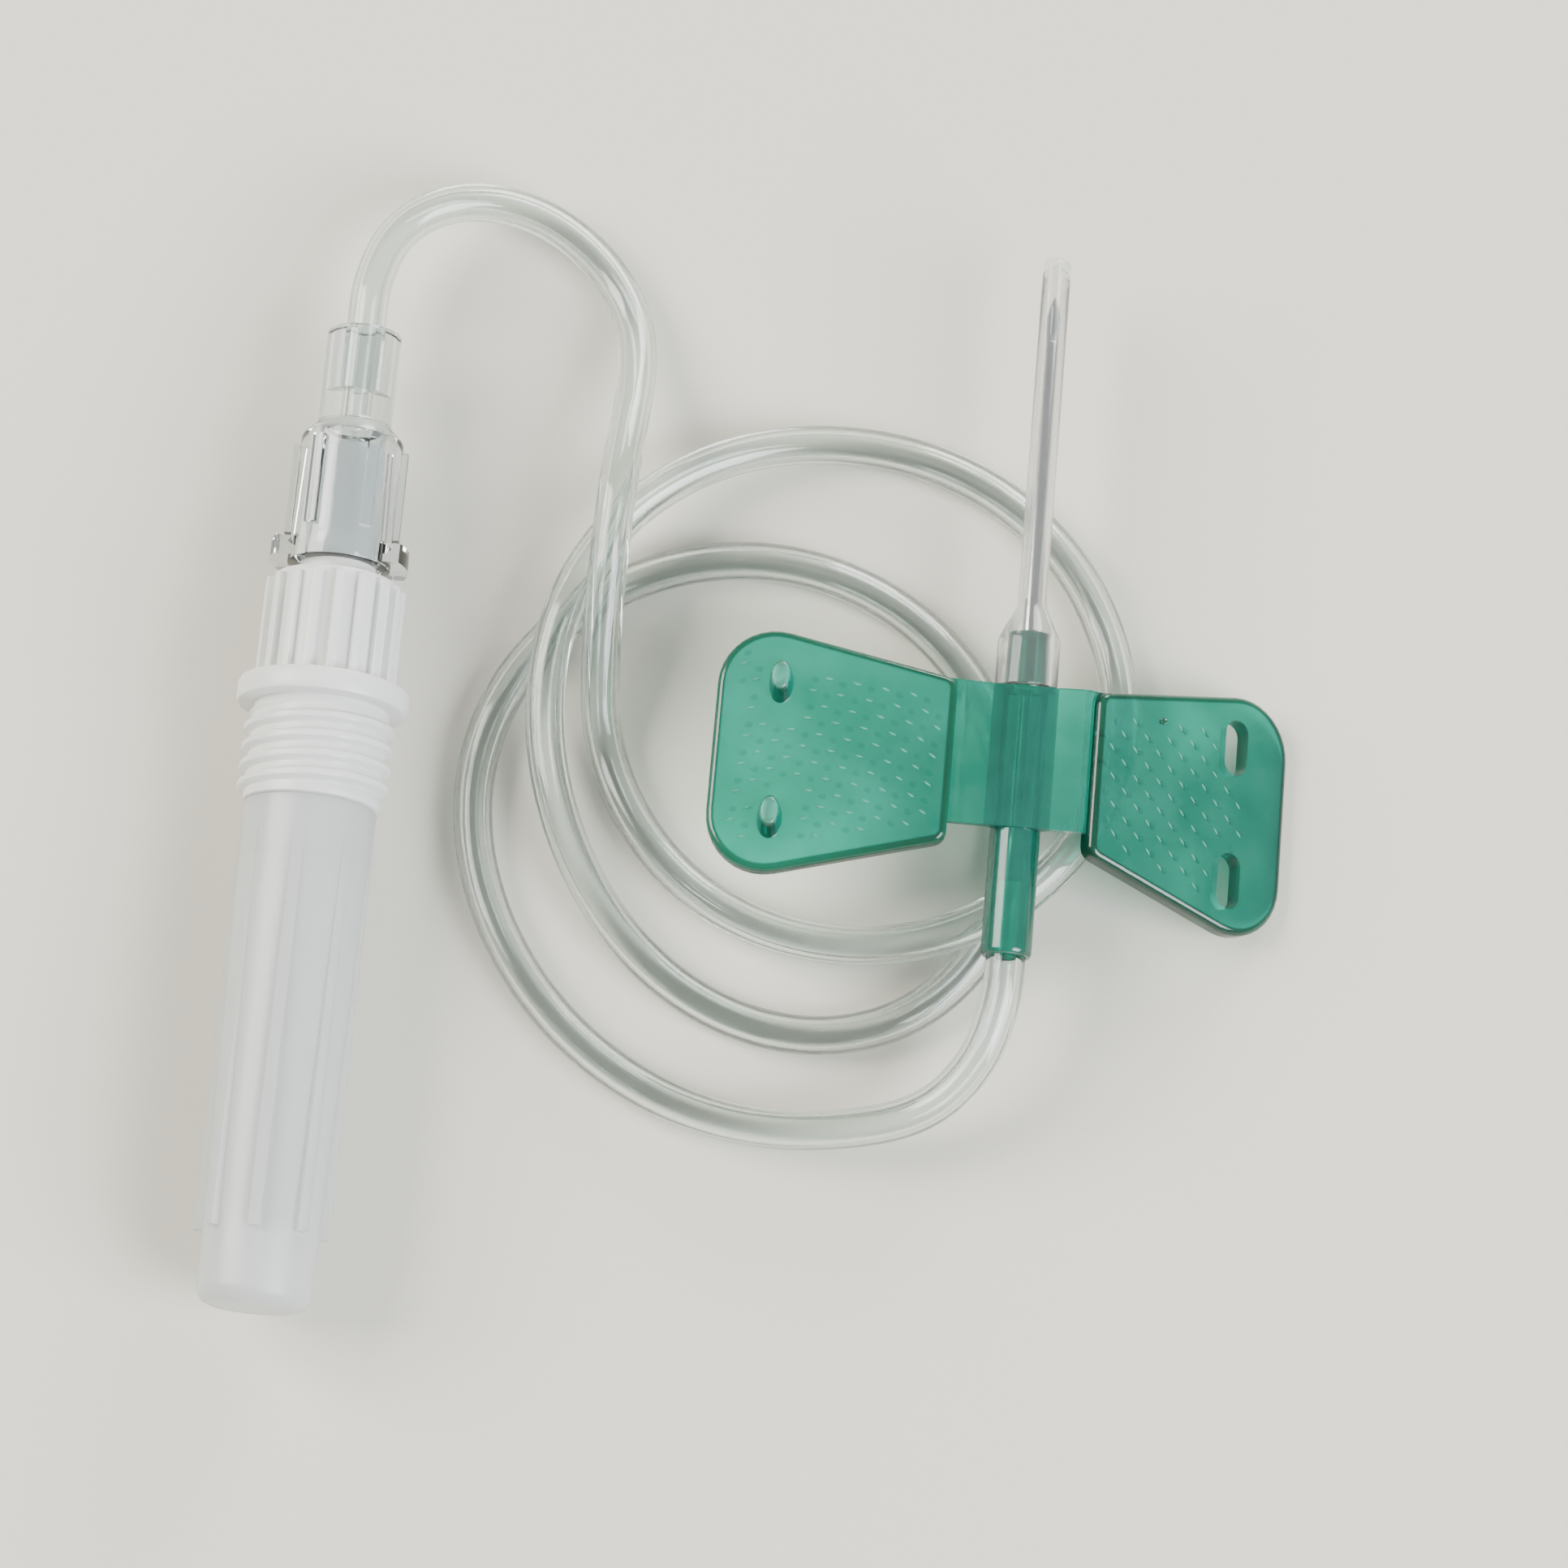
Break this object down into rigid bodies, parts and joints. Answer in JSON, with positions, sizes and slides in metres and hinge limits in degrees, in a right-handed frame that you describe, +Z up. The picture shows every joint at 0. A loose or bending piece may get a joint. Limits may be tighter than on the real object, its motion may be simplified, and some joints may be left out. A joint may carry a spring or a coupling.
{
  "type": "winged infusion needle",
  "caption": "Winged needle set: sheathed steel cannula in a green barrel with folding wings, coiled clear tubing and a tube holder adapter with a capped rear needle",
  "frame": {"origin": "on the cannula axis, at the face of the hub's nose", "axes": "+Y towards the needle point, +Z up from the table, +X to the right wing"},
  "size_m": [0.0589, 0.0656, 0.0101],
  "materials": {
    "needle_steel": "drawn and ground",
    "wing_green": "soft moulded, see-through tint",
    "sheath_clear": "extruded, clear",
    "tubing_clear": "extruded, clear",
    "connector_clear": "moulded, clear",
    "adapter_white": "moulded",
    "sleeve_rubber": "moulded",
    "guard_translucent": "moulded, milky"
  },
  "bodies": {
    "hub": {"hub_barrel": "wing_green", "needle_cannula": "needle_steel", "tubing_lead": "tubing_clear", "tubing_coil": "tubing_clear", "tubing_run": "tubing_clear", "luer_socket": "connector_clear"},
    "left_wing": {"left_wing": "wing_green"},
    "right_wing": {"right_wing": "wing_green"},
    "sheath": {"needle_sheath": "sheath_clear"},
    "adapter": {"luer_adapter": "adapter_white", "rear_cannula": "needle_steel", "rubber_sleeve": "sleeve_rubber"},
    "guard": {"adapter_guard": "guard_translucent"}
  },
  "joints": [
    {"name": "left_wing_fold", "type": "hinge", "parent": "hub", "child": "left_wing", "pos_m": [-0.0033, -0.00725, 0.00128], "axis": [0, 1, 0], "range_deg": [0, 100], "stiffness_Nm_per_rad": 0.001},
    {"name": "right_wing_fold", "type": "hinge", "parent": "hub", "child": "right_wing", "pos_m": [0.0033, -0.00725, 0.00128], "axis": [0, -1, 0], "range_deg": [0, 132], "stiffness_Nm_per_rad": 0.001},
    {"name": "sheath_pull", "type": "slide", "parent": "hub", "child": "sheath", "axis": [0, 1, 0], "range_m": [0, 0.026]},
    {"name": "adapter_pull", "type": "slide", "parent": "hub", "child": "adapter", "axis": [0, -1, 0], "range_m": [0, 0.012]},
    {"name": "guard_pull", "type": "slide", "parent": "adapter", "child": "guard", "axis": [0, -1, 0], "range_m": [0, 0.026]}
  ]
}
